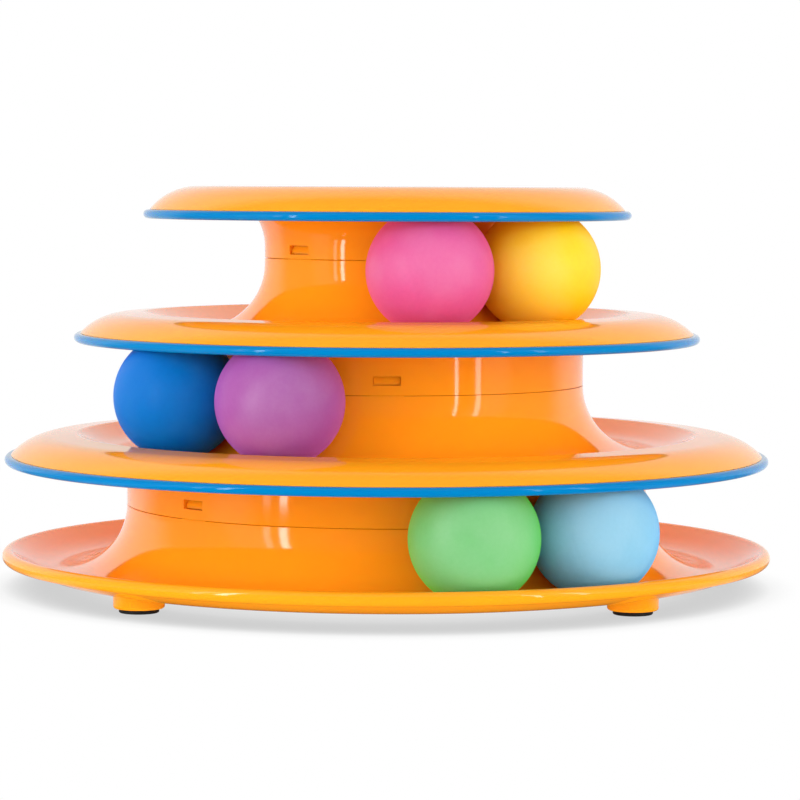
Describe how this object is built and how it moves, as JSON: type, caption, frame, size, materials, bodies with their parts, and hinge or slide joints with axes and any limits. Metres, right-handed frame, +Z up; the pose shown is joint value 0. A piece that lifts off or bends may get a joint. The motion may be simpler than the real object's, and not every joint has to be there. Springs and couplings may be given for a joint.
{
  "type": "cat ball track toy",
  "caption": "Round snap-together tower of stacked ball tracks for a cat, with domed rims, coloured balls, an open core and a safety bar across the top.",
  "frame": {"origin": "on the ground under the middle of the tower, level with the bottoms of the foot pads", "axes": "+Z up along the tower's axis, -Y towards the side that the picture shows"},
  "size_m": [0.25, 0.25, 0.1298],
  "materials": {
    "orange_plastic": "gloss",
    "blue_plastic": "gloss",
    "black_rubber": "matte",
    "pink_ball": "matte",
    "yellow_ball": "matte",
    "purple_ball": "matte",
    "blue_ball": "matte",
    "green_ball": "matte",
    "light_blue_ball": "matte"
  },
  "bodies": {
    "tower": {"base_track": "orange_plastic", "lower_track": "orange_plastic", "upper_track": "orange_plastic", "top_cap": "orange_plastic", "lower_rim_band": "blue_plastic", "upper_rim_band": "blue_plastic", "cap_rim_band": "blue_plastic", "foot_pad_front_left": "black_rubber", "foot_pad_front_right": "black_rubber", "foot_pad_back_left": "black_rubber", "foot_pad_back_right": "black_rubber"},
    "pink_ball": {"pink_ball": "pink_ball"},
    "yellow_ball": {"yellow_ball": "yellow_ball"},
    "purple_ball": {"purple_ball": "purple_ball"},
    "blue_ball": {"blue_ball": "blue_ball"},
    "green_ball": {"green_ball": "green_ball"},
    "light_blue_ball": {"light_blue_ball": "light_blue_ball"}
  },
  "joints": [
    {"name": "green_ball_roll", "type": "hinge", "parent": "tower", "child": "green_ball", "pos_m": [0, 0, 0], "axis": [0, 0, 1], "continuous": true},
    {"name": "light_blue_ball_roll", "type": "hinge", "parent": "green_ball", "child": "light_blue_ball", "pos_m": [0, 0, 0], "axis": [0, 0, 1], "range_deg": [-0.2, 316.2]},
    {"name": "purple_ball_roll", "type": "hinge", "parent": "tower", "child": "purple_ball", "pos_m": [0, 0, 0], "axis": [0, 0, 1], "continuous": true},
    {"name": "blue_ball_roll", "type": "hinge", "parent": "purple_ball", "child": "blue_ball", "pos_m": [0, 0, 0], "axis": [0, 0, 1], "range_deg": [-305.4, 0.2]},
    {"name": "pink_ball_roll", "type": "hinge", "parent": "tower", "child": "pink_ball", "pos_m": [0, 0, 0], "axis": [0, 0, 1], "continuous": true},
    {"name": "yellow_ball_roll", "type": "hinge", "parent": "pink_ball", "child": "yellow_ball", "pos_m": [0, 0, 0], "axis": [0, 0, 1], "range_deg": [-0.1, 283.3]}
  ]
}
